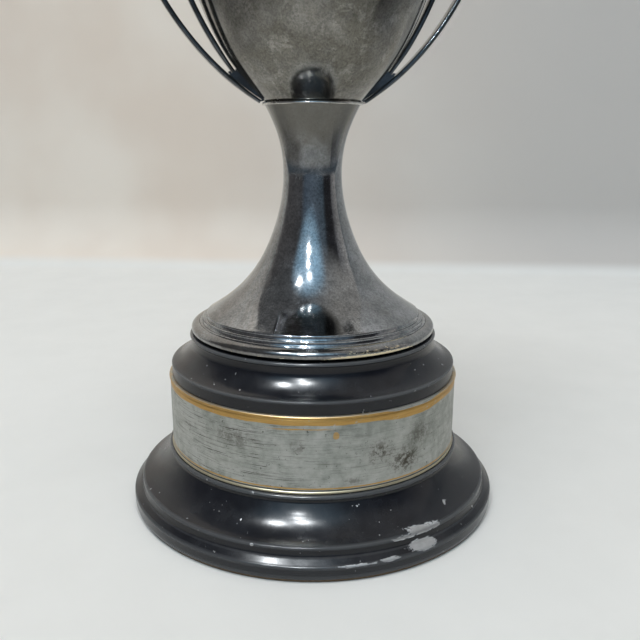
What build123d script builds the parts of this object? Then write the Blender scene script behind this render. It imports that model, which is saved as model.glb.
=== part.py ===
from build123d import *
import os
from math import hypot

# A two-handled loving cup on a moulded plinth. Millimetres, +Z up, origin on the
# surface it stands on, under the middle of the plinth. The handles lie along X and
# the front faces -Y. From the bottom up: a baize pad, a black plinth base, a drum
# and cap with a silver-plated band round it, a spun foot and stem, the bowl and its
# two double-strap handles. One tie rod holds the whole stack together.

# Heights of the stack
pad_thickness = 0.8
base_top = 24.6
drum_shoulder = 59.2
plinth_height = 70.6
foot_bottom = 71.8
stem_top = 159.7
bowl_bottom = 160.7
rim_height = 310.0

# Plinth
base_radius = 76.2
base_wall = 2.6
drum_radius = 58.5
drum_wall = 2.2
cap_radius = 50.7
band_thickness = 0.9
band_height = 29.6
band_lip = 0.35
pad_radius = 75.1

# Foot, stem and bowl
sheet = 1.1
foot_radius = 46.6
foot_rim_radius = 49.9
stem_waist = 11.6
stem_waist_height = 135.0
joint_radius = 18.7
rim_radius = 64.0
rim_wire = 1.7

# Handles
strap_width = 6.0
strap_thickness = 1.9
pad_plate = 1.3

# Tie rod and its fittings
rod_diameter = 6.0
rod_clearance = 6.6
rod_bottom = 11.0
rod_top = 157.5
washer_diameter = 28.0
washer_thickness = 1.6
lock_washer_diameter = 12.0
nut_flats = 10.0
nut_height = 5.0
boss_radius = 11.4
boss_height = 10.0

# Pins of the band
pin_diameter = 1.6
pin_head = 0.5
pin_spacing = 9.0

os.makedirs("parts", exist_ok=True)


def save(part, name):
    part.label = name
    export_step(part, "parts/" + name + ".step")


def inset(curve, wall):
    """The same run of points, moved towards the inside by the wall along their own normals."""
    moved = []
    for before, here, after in zip(curve[:1] + curve, curve, curve[1:] + curve[-1:]):
        run = after[0] - before[0]
        rise = after[1] - before[1]
        length = hypot(run, rise)
        moved.append((here[0] - wall * rise / length, here[1] + wall * run / length))
    return moved


# Profiles lie in the XZ plane, X outwards and Z up, and turn about Z.
bowl_curve = [
    (joint_radius, bowl_bottom),
    (22.7, 165.0),
    (30.4, 174.0),
    (37.9, 186.5),
    (43.3, 199.5),
    (50.6, 227.0),
    (54.6, 256.0),
    (57.2, 288.0),
    (rim_radius - rim_wire, rim_height - rim_wire),
]
stem_curve = [
    (43.0, 78.9),
    (34.6, 84.6),
    (23.6, 96.0),
    (16.6, 109.5),
    (stem_waist, stem_waist_height),
    (14.3, 150.4),
    (joint_radius - 0.2, stem_top),
]

# Baize pad: a glued disc of cloth under the whole base
with BuildPart() as baize_pad:
    with BuildSketch(Plane.XY):
        Circle(pad_radius)
    extrude(amount=pad_thickness)
save(baize_pad.part, "baize_pad")

# Plinth base: a thick shell with a foot lip, a small fillet, a long cove and a beaded top ledge
lip_top = 6.4
fillet_radius = 72.9
fillet_top = 11.0
ledge_radius = 60.9
ledge_bead = 0.9
neck_radius = 60.2
base_cove = [
    (neck_radius, 21.8),
    (62.3, 18.4),
    (64.5, 15.9),
    (67.0, 13.9),
    (69.5, 12.5),
    (fillet_radius - 0.7, fillet_top + 0.5),
]
spigot_radius = drum_radius - drum_wall - 0.3
spigot_height = 3.0
with BuildPart() as plinth_base:
    with BuildSketch(Plane.XZ):
        with BuildLine():
            Polyline(
                (0, base_top),
                (0, base_top - base_wall),
                (neck_radius - base_wall, base_top - base_wall),
                (neck_radius - base_wall, base_top - 2 * base_wall),
                (62.0, 13.6),
                (fillet_radius - 1.2 * base_wall, fillet_top - base_wall),
                (base_radius - base_wall, lip_top - base_wall),
                (base_radius - base_wall, pad_thickness),
                (base_radius - 0.9, pad_thickness),
                (base_radius, pad_thickness + 1.2),
                (base_radius, lip_top),
                (fillet_radius + 0.3, lip_top + 1.9),
                (fillet_radius, lip_top + 2.2),
                (fillet_radius - 0.4, fillet_top),
                (fillet_radius - 0.7, fillet_top + 0.5),
            )
            Spline(base_cove[::-1])
            Line((neck_radius, 21.8), (neck_radius, base_top - 2 * ledge_bead))
            ThreePointArc(
                (neck_radius, base_top - 2 * ledge_bead),
                (ledge_radius, base_top - ledge_bead),
                (neck_radius, base_top),
            )
            Line((neck_radius, base_top), (0, base_top))
        make_face()
    revolve(axis=Axis.Z)
    with BuildSketch(Plane.XY.offset(base_top)):
        Circle(spigot_radius)
        Circle(spigot_radius - base_wall, mode=Mode.SUBTRACT)
    extrude(amount=spigot_height)
    lip_edges = plinth_base.edges().filter_by(GeomType.CIRCLE).group_by(SortBy.RADIUS)[-1]
    fillet(lip_edges.sort_by(Axis.Z)[-1:], radius=0.5)
    with Locations((0, 0, base_top)):
        Hole(rod_clearance / 2, depth=base_wall)
save(plinth_base.part, "plinth_base")

# Plinth top: a beaded cap and a cove that flares out to the drum, which stands on the base
cap_bead = 0.8
cap_neck = 50.2
cove_top = 66.2
cove_curve = [
    (cap_neck, cove_top),
    (50.9, 65.4),
    (52.6, 63.0),
    (54.8, 60.6),
    (57.0, 59.6),
    (drum_radius - 0.5, drum_shoulder + 0.1),
]
drum_bottom = base_top
with BuildPart() as plinth_top:
    with BuildSketch(Plane.XZ):
        with BuildLine():
            Polyline(
                (0, plinth_height),
                (0, plinth_height - drum_wall),
                (cap_neck - 1.5 * drum_wall, plinth_height - drum_wall),
                (cap_neck - 1.5 * drum_wall, cove_top - drum_wall),
                (drum_radius - drum_wall, drum_shoulder - 2 * drum_wall),
                (drum_radius - drum_wall, drum_bottom),
                (drum_radius, drum_bottom),
                (drum_radius, drum_shoulder - 0.4),
            )
            Line((drum_radius, drum_shoulder - 0.4), cove_curve[-1])
            Spline(cove_curve[::-1])
            Line((cap_neck, cove_top), (cap_neck, plinth_height - 2 * cap_bead))
            ThreePointArc(
                (cap_neck, plinth_height - 2 * cap_bead),
                (cap_radius, plinth_height - cap_bead),
                (cap_radius - 1.0, plinth_height),
            )
            Line((cap_radius - 1.0, plinth_height), (0, plinth_height))
        make_face()
    revolve(axis=Axis.Z)
    with Locations((0, 0, plinth_height)):
        Hole(rod_clearance / 2, depth=drum_wall)
save(plinth_top.part, "plinth_top")

# Name band: a sleeve round the drum with a rolled lip along each edge
band_inner = drum_radius
band_outer = drum_radius + band_thickness
band_top = base_top + band_height
lip_height = 1.2
with BuildPart() as name_band:
    with BuildSketch(Plane.XZ):
        with BuildLine():
            Polyline(
                (band_inner, base_top),
                (band_outer, base_top),
            )
            ThreePointArc(
                (band_outer, base_top),
                (band_outer + band_lip, base_top + lip_height / 2),
                (band_outer, base_top + lip_height),
            )
            Line((band_outer, base_top + lip_height), (band_outer, band_top - lip_height))
            ThreePointArc(
                (band_outer, band_top - lip_height),
                (band_outer + band_lip, band_top - lip_height / 2),
                (band_outer, band_top),
            )
            Polyline((band_outer, band_top), (band_inner, band_top), (band_inner, base_top))
        make_face()
    revolve(axis=Axis.Z)
    # seats of the pins at the seam, which runs up the back
    with Locations(Plane(origin=(0, band_outer, base_top + band_height / 2), x_dir=(1, 0, 0), z_dir=(0, 1, 0))):
        with GridLocations(pin_spacing, 0.6 * band_height, 1, 2):
            Hole(pin_diameter / 2, depth=2 * band_thickness)
save(name_band.part, "name_band")

# Band pins: round-headed brass pins in the lapped seam
with BuildPart() as band_pins:
    pin_plane = Plane(origin=(0, drum_radius, base_top + band_height / 2), x_dir=(1, 0, 0), z_dir=(0, 1, 0))
    with BuildSketch(pin_plane):
        with GridLocations(pin_spacing, 0.6 * band_height, 1, 2):
            Circle(pin_diameter / 2)
    extrude(amount=band_thickness + 0.1)
    with BuildSketch(pin_plane.offset(band_thickness + 0.1)):
        with GridLocations(pin_spacing, 0.6 * band_height, 1, 2):
            Circle(pin_diameter)
    extrude(amount=pin_head, taper=25)
save(band_pins.part, "band_pins")

# Foot gasket: a fibre disc that leaves a dark gap under the foot
with BuildPart() as foot_gasket:
    with BuildSketch(Plane.XY.offset(plinth_height)):
        Circle(foot_radius - 0.8)
        Circle(rod_clearance / 2, mode=Mode.SUBTRACT)
    extrude(amount=foot_bottom - plinth_height)
save(foot_gasket.part, "foot_gasket")

# Foot plate: closes the spun foot and bears on the gasket
with BuildPart() as foot_plate:
    with BuildSketch(Plane.XY.offset(foot_bottom)):
        Circle(foot_radius - sheet)
        Circle(rod_clearance / 2, mode=Mode.SUBTRACT)
    extrude(amount=1.2)
save(foot_plate.part, "foot_plate")

# Foot rim: quarter-round ring soldered round the edge of the foot
with BuildPart() as foot_rim:
    with BuildSketch(Plane.XZ):
        with BuildLine():
            Polyline(
                (foot_radius, 75.2),
                (foot_radius, foot_bottom),
                (foot_rim_radius - 0.5, foot_bottom),
            )
            ThreePointArc(
                (foot_rim_radius - 0.5, foot_bottom),
                (foot_rim_radius, 72.9),
                (foot_radius, 75.2),
            )
        make_face()
    revolve(axis=Axis.Z)
save(foot_rim.part, "foot_rim")

# Stem and foot: one spun trumpet, stepped in three beads above the edge of the foot
with BuildPart() as stem_foot:
    with BuildSketch(Plane.XZ):
        with BuildLine():
            Spline(stem_curve)
            Polyline(
                (joint_radius - 0.2, stem_top),
                (joint_radius - 0.2 - sheet, stem_top),
            )
            Spline([(joint_radius - 0.2 - sheet, stem_top)] + inset(stem_curve, sheet)[-2:0:-1] + [(41.9, 77.6)])
            Polyline(
                (41.9, 77.6),
                (43.7, 76.0),
                (foot_radius - sheet, 74.4),
                (foot_radius - sheet, foot_bottom),
                (foot_radius, foot_bottom),
                (foot_radius, 75.5),
                (45.9, 75.9),
                (45.3, 75.9),
                (45.1, 76.9),
                (44.5, 77.3),
                (43.8, 77.4),
                (43.5, 78.6),
                (43.0, 78.9),
            )
        make_face()
    revolve(axis=Axis.Z)
save(stem_foot.part, "stem_foot")

# Joint ring: a bright washer between the stem and the bowl
with BuildPart() as joint_ring:
    with BuildSketch(Plane.XY.offset(stem_top)):
        Circle(joint_radius + 1.0)
        Circle(boss_radius + 0.3, mode=Mode.SUBTRACT)
    extrude(amount=bowl_bottom - stem_top)
    fillet(joint_ring.edges().filter_by(GeomType.CIRCLE).group_by(SortBy.RADIUS)[-1], radius=0.35)
save(joint_ring.part, "joint_ring")

# Bowl: a spun shell with a flat bottom and an outward-turned mouth
bowl_inner = [(joint_radius - 0.6, bowl_bottom + sheet)] + inset(bowl_curve, sheet)[1:-1]
mouth_inner = (rim_radius - rim_wire - sheet, rim_height - rim_wire)
with BuildPart() as bowl:
    with BuildSketch(Plane.XZ):
        with BuildLine():
            Line((0, bowl_bottom), (joint_radius, bowl_bottom))
            Spline(bowl_curve)
            Line(bowl_curve[-1], mouth_inner)
            Spline([mouth_inner] + bowl_inner[::-1])
            Polyline(bowl_inner[0], (0, bowl_bottom + sheet), (0, bowl_bottom))
        make_face()
    revolve(axis=Axis.Z)
save(bowl.part, "bowl")

# Rim bead: a round wire soldered on the mouth of the bowl
with BuildPart() as rim_bead:
    with BuildSketch(Plane.XZ):
        with Locations((rim_radius - rim_wire, rim_height - rim_wire)):
            Circle(rim_wire)
    revolve(axis=Axis.Z)
    add(bowl.part, mode=Mode.SUBTRACT)
save(rim_bead.part, "rim_bead")

# Bowl boss: a tapped block soldered under the bowl, inside the top of the stem
with BuildPart() as bowl_boss:
    with BuildSketch(Plane.XY.offset(bowl_bottom - boss_height)):
        Circle(boss_radius)
    extrude(amount=boss_height)
    chamfer(bowl_boss.faces().sort_by(Axis.Z)[0].edges(), length=1.2)
    with Locations((0, 0, bowl_bottom - boss_height)):
        Cylinder(
            rod_diameter / 2,
            rod_top - bowl_bottom + boss_height,
            align=(Align.CENTER, Align.CENTER, Align.MIN),
            mode=Mode.SUBTRACT,
        )
save(bowl_boss.part, "bowl_boss")

# Tie rod: one threaded rod from the boss down to the nut under the base
with BuildPart() as tie_rod:
    with BuildSketch(Plane.XY.offset(rod_bottom)):
        Circle(rod_diameter / 2)
    extrude(amount=rod_top - rod_bottom)
    chamfer(tie_rod.edges().filter_by(GeomType.CIRCLE), length=0.6)
save(tie_rod.part, "tie_rod")

# Washer, lock washer and nut, hung from the underside of the base's top plate
washer_top = base_top - base_wall
with BuildPart() as base_washer:
    with BuildSketch(Plane.XY.offset(washer_top - washer_thickness)):
        Circle(washer_diameter / 2)
        Circle(rod_clearance / 2, mode=Mode.SUBTRACT)
    extrude(amount=washer_thickness)
save(base_washer.part, "base_washer")

lock_top = washer_top - washer_thickness
with BuildPart() as lock_washer:
    with BuildSketch(Plane.XY.offset(lock_top - washer_thickness)):
        Circle(lock_washer_diameter / 2)
        Circle(rod_clearance / 2, mode=Mode.SUBTRACT)
        with Locations((lock_washer_diameter / 2, 0)):
            Rectangle(lock_washer_diameter, 1.2, mode=Mode.SUBTRACT)
    extrude(amount=washer_thickness)
save(lock_washer.part, "lock_washer")

nut_top = lock_top - washer_thickness
with BuildPart() as base_nut:
    with BuildSketch(Plane.XY.offset(nut_top - nut_height)):
        RegularPolygon(nut_flats / 2, 6, major_radius=False)
        Circle(rod_diameter / 2, mode=Mode.SUBTRACT)
    extrude(amount=nut_height)
save(base_nut.part, "base_nut")

# Handles: an outer strap that sweeps up and turns over to a pad on the bowl, an inner
# strap that rises beside the bowl and bends out to meet it, and a web that fills the
# narrow angle where both strands leave the bowl. The centre lines are runs of arcs,
# each tangent to the one before.
outer_start = (20.4, 160.9)
outer_points = [(39.6, 176.4), (55.4, 197.0), (77.6, 252.0), (70.5, 281.5), (57.6, 282.0)]
inner_start = (30.2, 171.6)
inner_points = [(38.6, 183.9), (46.1, 198.6), (60.6, 240.0), (77.9, 265.3)]
web_outline = [(19.9, 160.9), (30.6, 169.0), (32.4, 171.6), (29.6, 172.6), (18.9, 161.4)]
web_width = 4.4
pad_height = 281.4
pad_face = 58.4


def centre_line(start, points, side):
    """One side's strap: an arc through three points, then arcs tangent to it."""
    places = [(side * x, z) for x, z in [start] + points]
    with BuildLine(Plane.XZ) as path:
        last = ThreePointArc(places[0], places[1], places[2])
        for place in places[3:]:
            last = TangentArc(last @ 1, place, tangent=last % 1)
    return path.line


def strap(path, others):
    """A rounded strap swept along its centre line and scarfed against the pieces it meets."""
    with BuildPart() as piece:
        with BuildSketch(Plane(origin=path @ 0, x_dir=(0, 1, 0), z_dir=path % 0)):
            RectangleRounded(strap_width, strap_thickness, 0.45 * strap_thickness)
        sweep(path=path)
        for other in others:
            add(other, mode=Mode.SUBTRACT)
    return piece.part


def upper_pad(side):
    """Oval plate on the bowl that takes the turned-over end of the outer strap."""
    with BuildPart() as piece:
        with BuildSketch(Plane(origin=(side * pad_face, 0, pad_height), x_dir=(0, 1, 0), z_dir=(side, 0, 0))):
            Ellipse(4.6, 6.2)
        extrude(amount=-pad_plate - 1.2)
        fillet(piece.faces().sort_by(Axis.X)[-1 if side > 0 else 0].edges(), radius=0.5)
        add(bowl.part, mode=Mode.SUBTRACT)
    return piece.part.solids().sort_by(SortBy.VOLUME)[-1]


def lower_web(side, others):
    """Solder-filled web between the bowl, the outer strap and the foot of the inner strap."""
    with BuildPart() as piece:
        with BuildSketch(Plane.XZ):
            with BuildLine():
                Polyline([(side * x, z) for x, z in web_outline], close=True)
            make_face()
        extrude(amount=web_width / 2, both=True)
        for other in others:
            add(other, mode=Mode.SUBTRACT)
    return piece.part.solids().sort_by(SortBy.VOLUME)[-1]


for side, name in ((-1, "left"), (1, "right")):
    plate = upper_pad(side)
    save(plate, name + "_upper_pad")
    outer = strap(centre_line(outer_start, outer_points, side), [plate])
    save(outer, name + "_outer_strap")
    inner = strap(centre_line(inner_start, inner_points, side), [outer])
    save(inner, name + "_inner_strap")
    save(lower_web(side, [bowl.part, outer, inner]), name + "_lower_web")
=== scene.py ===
import bpy, math
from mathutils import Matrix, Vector, noise


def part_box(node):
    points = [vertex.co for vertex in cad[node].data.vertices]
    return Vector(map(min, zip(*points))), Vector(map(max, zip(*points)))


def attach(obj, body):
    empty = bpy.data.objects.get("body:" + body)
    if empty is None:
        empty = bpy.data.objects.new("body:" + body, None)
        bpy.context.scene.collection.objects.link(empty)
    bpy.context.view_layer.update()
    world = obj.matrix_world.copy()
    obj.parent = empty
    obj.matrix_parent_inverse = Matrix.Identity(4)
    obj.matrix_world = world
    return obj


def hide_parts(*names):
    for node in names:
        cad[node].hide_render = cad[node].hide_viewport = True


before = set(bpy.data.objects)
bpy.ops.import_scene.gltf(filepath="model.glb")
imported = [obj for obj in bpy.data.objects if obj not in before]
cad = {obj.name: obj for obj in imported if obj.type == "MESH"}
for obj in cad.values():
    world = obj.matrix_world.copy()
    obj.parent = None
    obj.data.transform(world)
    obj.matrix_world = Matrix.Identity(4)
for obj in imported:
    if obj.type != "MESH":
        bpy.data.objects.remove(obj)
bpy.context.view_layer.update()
scene = bpy.context.scene
MM = 0.001


# ---- bowl
# A thin shell of brass spun over a chuck and silver plated, now under a cloudy brown
# and olive tarnish. Its flat bottom is soldered to the joint ring, and a wire closes
# its mouth. It was last cleaned by hand, so brushed patches cross the tarnish.
def add_node(tree, kind, settings=None, **inputs):
    """One node: settings are its own properties, inputs its sockets by name or as i0, i1, ..."""
    made = tree.nodes.new(kind)
    for name, value in (settings or {}).items():
        setattr(made, name, value)
    for name, value in inputs.items():
        place = int(name[1:]) if name[1:].isdigit() else name.replace("_", " ")
        if isinstance(value, bpy.types.NodeSocket):
            tree.links.new(value, made.inputs[place])
        else:
            made.inputs[place].default_value = value
    return made


def maths(tree, operation, first, second=0.0, third=0.0, clamp=False):
    settings = {"operation": operation, "use_clamp": clamp}
    return add_node(tree, "ShaderNodeMath", settings, i0=first, i1=second, i2=third).outputs[0]


def times(tree, first, second, more=None):
    """first times second, and more is added to it."""
    if more is None:
        return maths(tree, "MULTIPLY", first, second)
    return maths(tree, "MULTIPLY_ADD", first, second, more)


def minus(tree, first, second):
    return maths(tree, "SUBTRACT", first, second)


def axis_of(tree, vector, axis):
    """One of X, Y and Z of a vector."""
    return add_node(tree, "ShaderNodeSeparateXYZ", None, Vector=vector).outputs[axis]


def ease(tree, value, low, high, start=0.0, end=1.0):
    """A smooth step from start, below low, to end, above high."""
    settings = {"interpolation_type": "SMOOTHSTEP"}
    return add_node(tree, "ShaderNodeMapRange", settings, Value=value, From_Min=low, From_Max=high,
                    To_Min=start, To_Max=end).outputs[0]


def blend(tree, share, under, over, kind="MIX"):
    """Two colours, each red, green and blue or a socket, mixed by a share from 0 to 1."""
    settings = {"data_type": "RGBA", "blend_type": kind}
    under, over = (tone if isinstance(tone, bpy.types.NodeSocket) else (*tone, 1) for tone in (under, over))
    return add_node(tree, "ShaderNodeMix", settings, i0=share, i6=under, i7=over).outputs[2]


def cloud(tree, place, scale, detail=4.0, rough=0.55, bend=0.0):
    """Soft noise about 1/scale across, between 0 and 1."""
    return add_node(tree, "ShaderNodeTexNoise", None, Vector=place, Scale=scale, Detail=detail,
                    Roughness=rough, Distortion=bend).outputs["Fac"]


def stretch(tree, place, scale=(1, 1, 1), turn=(0, 0, 0)):
    """A place scaled and turned, so that a pattern on it is drawn out."""
    return add_node(tree, "ShaderNodeMapping", None, Vector=place, Rotation=turn, Scale=scale).outputs[0]


def new_group(name, inputs, outputs):
    """An empty shader group with named sockets: returns its tree, its input node and its output node."""
    tree = bpy.data.node_groups.new(name, "ShaderNodeTree")
    for title, kind, value in inputs:
        socket = tree.interface.new_socket(title, in_out="INPUT", socket_type="NodeSocket" + kind)
        if value is not None:
            socket.default_value = value
    for title, kind in outputs:
        tree.interface.new_socket(title, in_out="OUTPUT", socket_type="NodeSocket" + kind)
    return tree, tree.nodes.new("NodeGroupInput"), tree.nodes.new("NodeGroupOutput")


def use(tree, group, **inputs):
    made = add_node(tree, "ShaderNodeGroup", {"node_tree": group})
    for name, value in inputs.items():
        socket = made.inputs[name.replace("_", " ")]
        if isinstance(value, bpy.types.NodeSocket):
            tree.links.new(value, socket)
        else:
            socket.default_value = value
    return made.outputs


def tarnish_group():
    """Cloudy tarnish in three sizes: Cloud for its colour, Film for its dullness, Speck for pits."""
    tree, given, out = new_group(
        "tarnish",
        [("Place", "Vector", None), ("Patch", "Float", 45.0), ("Spread", "Float", 0.5)],
        [("Cloud", "Float"), ("Film", "Float"), ("Speck", "Float")],
    )
    place = given.outputs["Place"]
    patch = given.outputs["Patch"]
    large = cloud(tree, place, patch, 6.0, 0.62, 0.35)
    middle = cloud(tree, place, times(tree, patch, 5.0), 5.0, 0.6)
    fine = cloud(tree, place, times(tree, patch, 26.0), 3.0, 0.6)
    mixed = times(tree, middle, 0.35, times(tree, large, 0.65))
    low = minus(tree, 0.98, given.outputs["Spread"])
    patches = ease(tree, mixed, minus(tree, low, 0.13), maths(tree, "ADD", low, 0.13))
    tree.links.new(patches, out.inputs["Cloud"])
    film = times(tree, fine, 0.45, times(tree, middle, 0.55))
    tree.links.new(film, out.inputs["Film"])
    tree.links.new(ease(tree, fine, 0.62, 0.72), out.inputs["Speck"])
    return tree


def scratch_group():
    """Fine scratches: thin bright lines in two directions on the flattened surface, in mm."""
    tree, given, out = new_group(
        "scratches",
        [("Run", "Vector", None), ("Length", "Float", 14.0), ("Lean", "Float", 0.3),
         ("Density", "Float", 0.5)],
        [("Lines", "Float")],
    )
    bars = []
    for turn_by, across in ((0.0, 3.1), (1.9, 4.3)):
        lean = maths(tree, "ADD", given.outputs["Lean"], turn_by)
        turned_by = add_node(tree, "ShaderNodeCombineXYZ", None, Z=lean).outputs[0]
        thin = maths(tree, "DIVIDE", 1.0, given.outputs["Length"])
        size = add_node(tree, "ShaderNodeCombineXYZ", None, X=thin, Y=across, Z=1.0).outputs[0]
        bars.append(cloud(tree, stretch(tree, given.outputs["Run"], size, turned_by), 1.0, 2.0, 0.5, 0.6))
    strong = maths(tree, "MAXIMUM", bars[0], bars[1])
    low = minus(tree, 0.86, times(tree, given.outputs["Density"], 0.2))
    edge = add_node(tree, "ShaderNodeMapRange", None, Value=strong, From_Min=low,
                    From_Max=maths(tree, "ADD", low, 0.05))
    tree.links.new(edge.outputs[0], out.inputs["Lines"])
    return tree


tarnish = tarnish_group()
scratches = scratch_group()


def new_material(name):
    """A material with its Principled shader, and where a pattern is read: Object place and mm run."""
    material = bpy.data.materials.new(name)
    material.use_nodes = True
    tree = material.node_tree
    shader = tree.nodes["Principled BSDF"]
    place = add_node(tree, "ShaderNodeTexCoord").outputs["Object"]
    run = add_node(tree, "ShaderNodeUVMap", {"uv_map": "run"}).outputs[0]
    return material, tree, shader, place, run


def finish_shader(tree, shader, colour, rough, metal=None, height=None, depth=0.02):
    """Joins colour, roughness, metal and a relief of the given depth in mm to the shader."""
    for socket, value in (("Base Color", colour), ("Roughness", rough), ("Metallic", metal)):
        if value is None:
            continue
        if isinstance(value, bpy.types.NodeSocket):
            tree.links.new(value, shader.inputs[socket])
        else:
            shader.inputs[socket].default_value = value
    if height is not None:
        bump = add_node(tree, "ShaderNodeBump", None, Height=height, Strength=0.6, Distance=depth * MM)
        tree.links.new(bump.outputs[0], shader.inputs["Normal"])


def old_silver(name, clean, dark, shine=0.12, dull=0.12, patch=45.0, spread=0.5, wear=0.0,
               worn=(0.0, 400.0), spin=0.5, streak=0.25, gather=None, inside_from=None, mapped=True):
    """Silver plate in its clean and dark colours. Edges wear to brass, most of all within worn: middle
    and half width along the run, in mm. spin is the depth of the lathe marks, streak the strength of
    rubbed streaks. gather holds two heights in mm, between which tarnish thickens. Past inside_from, in
    mm along the outline, the plate is cleaner. A piece that is not mapped is marked by place instead."""
    material, tree, shader, place, run = new_material(name)
    if not mapped:
        run = stretch(tree, place, (1000, 1000, 1000))
    film = use(tree, tarnish, Place=place, Patch=patch, Spread=spread)
    lines = use(tree, scratches, Run=run, Length=18.0, Lean=0.25, Density=0.35)["Lines"]
    colour = blend(tree, film["Cloud"], clean, dark)
    strokes = cloud(tree, stretch(tree, run, (0.07, 0.12, 1.0), (0, 0, 0.5)), 1.0, 8.0, 0.72, 0.5)
    rubbed = ease(tree, strokes, 0.50, 0.66)
    colour = blend(tree, times(tree, rubbed, streak), colour, tuple(1.5 * c for c in clean))
    grain = cloud(tree, stretch(tree, run, (0.8, 1.0, 1.0), (0, 0, 0.6)), 1.3, 6.0, 0.75, 0.4)
    shade = times(tree, ease(tree, film["Film"], 0.36, 0.64, 0.68, 1.28),
                  ease(tree, grain, 0.3, 0.7, 0.82, 1.2))
    grey = add_node(tree, "ShaderNodeCombineColor", None, Red=shade, Green=shade, Blue=shade).outputs[0]
    colour = blend(tree, 1.0, colour, grey, "MULTIPLY")
    if inside_from:
        along = axis_of(tree, run, "Y")
        inside = ease(tree, along, inside_from - 1, inside_from + 1)
        colour = blend(tree, times(tree, inside, 0.8), colour, (0.66, 0.63, 0.57))
    if gather:
        tall = axis_of(tree, place, "Z")
        uneven = times(tree, film["Cloud"], 0.008, tall)
        thick = ease(tree, uneven, gather[0] * MM, gather[1] * MM)
        colour = blend(tree, times(tree, thick, 0.85), colour, (0.16, 0.155, 0.14))
    colour = blend(tree, times(tree, film["Speck"], 0.35), colour, (0.05, 0.045, 0.04))
    colour = blend(tree, times(tree, lines, 0.2), colour, (0.6, 0.6, 0.58))
    rough = times(tree, film["Cloud"], dull, shine)
    rough = times(tree, rubbed, 0.08, rough)
    if wear:
        edge = add_node(tree, "ShaderNodeAttribute", {"attribute_name": "edge"}).outputs["Fac"]
        middle = axis_of(tree, run, "X")
        off = maths(tree, "ABSOLUTE", minus(tree, middle, worn[0]))
        here = ease(tree, off, worn[1], 0.4 * worn[1], 0.35, 1.0)
        ragged = cloud(tree, stretch(tree, run, (0.5, 1.4, 1.0)), 0.9, 5.0, 0.7)
        push = times(tree, times(tree, edge, here), wear)
        bare = ease(tree, maths(tree, "ADD", push, ragged), 0.93, 1.0)
        colour = blend(tree, bare, colour, (0.92, 0.82, 0.60))
        rough = times(tree, bare, 0.2, rough)
    rings = cloud(tree, stretch(tree, run, (0.03, 2.4, 1.0)), 1.0, 3.0, 0.6)
    height = times(tree, rings, spin, times(tree, film["Film"], 0.6))
    height = minus(tree, height, times(tree, lines, 0.8))
    finish_shader(tree, shader, colour, rough, 1.0, height, depth=0.006)
    return material


def spread_points(points, step=0.8):
    """Points about one step apart along a natural cubic spline through the given ones, ends included."""
    marks = [0.0]
    for a, b in zip(points, points[1:]):
        marks.append(marks[-1] + math.dist(a, b))
    columns = []
    for axis in (0, 1):
        values = [p[axis] for p in points]
        bends = natural_bends(marks, values)
        columns.append((values, bends))
    made = []
    for k in range(len(points) - 1):
        span = marks[k + 1] - marks[k]
        count = max(2, round(span / step))
        for i in range(count):
            t = i / count
            made.append(tuple(spline_value(column, k, t, span) for column in columns))
    made.append(tuple(points[-1]))
    return made


def natural_bends(marks, values):
    """Second derivatives of the natural cubic spline through the values."""
    count = len(values)
    upper, right = [0.0] * count, [0.0] * count
    for i in range(1, count - 1):
        before, after = marks[i] - marks[i - 1], marks[i + 1] - marks[i]
        slope = (values[i + 1] - values[i]) / after - (values[i] - values[i - 1]) / before
        middle = 2 * (before + after) - before * upper[i - 1]
        upper[i] = after / middle
        right[i] = (6 * slope - before * right[i - 1]) / middle
    bends = [0.0] * count
    for i in range(count - 2, 0, -1):
        bends[i] = right[i] - upper[i] * bends[i + 1]
    return bends


def spline_value(column, k, t, span):
    """The spline's value at the share t of its span k."""
    values, bends = column
    s = 1 - t
    bend = (s**3 - s) * bends[k] + (t**3 - t) * bends[k + 1]
    return s * values[k] + t * values[k + 1] + span * span / 6 * bend


def inset(points, wall):
    """The same run of points, moved towards the inside by the wall along their own normals."""
    moved = []
    for before, here, after in zip(points[:1] + points, points, points[1:] + points[-1:]):
        run, rise = after[0] - before[0], after[1] - before[1]
        length = math.hypot(run, rise)
        moved.append((here[0] - wall * rise / length, here[1] + wall * run / length))
    return moved


def arc(centre, radius, start, end, step=0.25):
    """Points on an arc, angles in degrees from outwards towards up."""
    count = max(3, math.ceil(abs(math.radians(end - start)) * radius / step))
    angles = [math.radians(start + (end - start) * i / count) for i in range(count + 1)]
    return [(centre[0] + radius * math.cos(a), centre[1] + radius * math.sin(a)) for a in angles]


def held(outline):
    """The closed outline with a point near both ends of each long face, so that edges stay narrow."""
    made, near = [], 0.6
    for a, b in zip(outline, outline[1:] + outline[:1]):
        made.append(a)
        length = math.dist(a, b)
        if length > 3 * near:
            for share in (near / length, 1 - near / length):
                made.append((a[0] + share * (b[0] - a[0]), a[1] + share * (b[1] - a[1])))
    return made


def edge_marks(outline):
    """How sharply the closed outline turns outwards within half a millimetre of each point, 0 to 1."""
    count = len(outline)
    bends = []
    for i in range(count):
        a, b, c = outline[i - 1], outline[i], outline[(i + 1) % count]
        first = math.atan2(b[1] - a[1], b[0] - a[0])
        second = math.atan2(c[1] - b[1], c[0] - b[0])
        bends.append((second - first + math.pi) % (2 * math.pi) - math.pi)
    marks = []
    for i in range(count):
        total = 0.0
        for way in (-1, 1):
            walked, k = 0.0, i
            while walked < 0.5:
                if way < 0 or k != i:
                    total += bends[k]
                walked += math.dist(outline[k], outline[(k + way) % count])
                k = (k + way) % count
        marks.append(min(1.0, max(0.0, total / 1.2)))
    return marks


def in_scene(name, data):
    made = bpy.data.objects.new(name, data)
    scene.collection.objects.link(made)
    return made


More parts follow.
